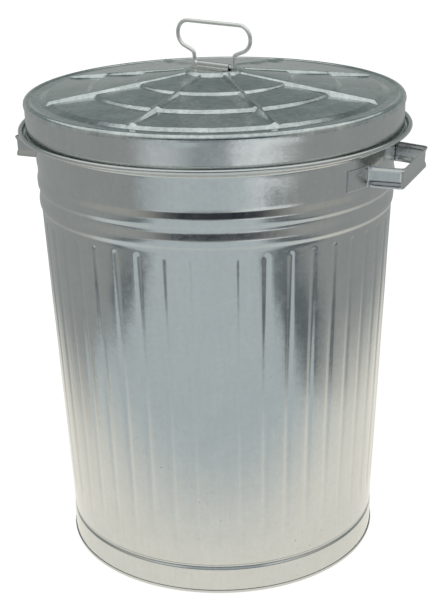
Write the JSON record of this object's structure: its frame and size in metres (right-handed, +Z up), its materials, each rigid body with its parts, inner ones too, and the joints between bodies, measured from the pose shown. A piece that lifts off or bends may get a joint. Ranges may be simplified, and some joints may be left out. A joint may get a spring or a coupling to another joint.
{
  "type": "galvanized trash can with lid",
  "caption": "tapered galvanized steel trash can with fluted sides, strap handles at its sides and a loose lid with pressed ridges and a folding wire handle",
  "frame": {"origin": "centre of the can on the floor that it stands on", "axes": "+Z up along the can's axis; the two strap handles lie on +X and -X; the body's lapped seam is near +Y"},
  "size_m": [0.4438, 0.4194, 0.5833],
  "materials": {
    "zinc_sheet": "hot-dip zinc with a fine spangle",
    "zinc_strap": "zinc-coated pressed strap, satin",
    "zinc_wire": "zinc-coated round wire, satin"
  },
  "bodies": {
    "can": {"body_shell": "zinc_sheet", "rim_wire": "zinc_wire", "bottom_pan": "zinc_sheet", "handle_left": "zinc_strap", "handle_right": "zinc_strap"},
    "lid": {"lid_panel": "zinc_sheet", "lid_skirt": "zinc_sheet", "lid_clip": "zinc_strap"},
    "loop": {"lid_handle": "zinc_wire"}
  },
  "joints": [
    {"name": "lid_lift", "type": "slide", "parent": "can", "child": "lid", "axis": [0, 0, 1], "range_m": [0, 0.3]},
    {"name": "lid_handle_fold", "type": "hinge", "parent": "lid", "child": "loop", "pos_m": [0, 0, 0.5372], "axis": [0.965, -0.2622, 0], "range_deg": [-90, 90]}
  ]
}
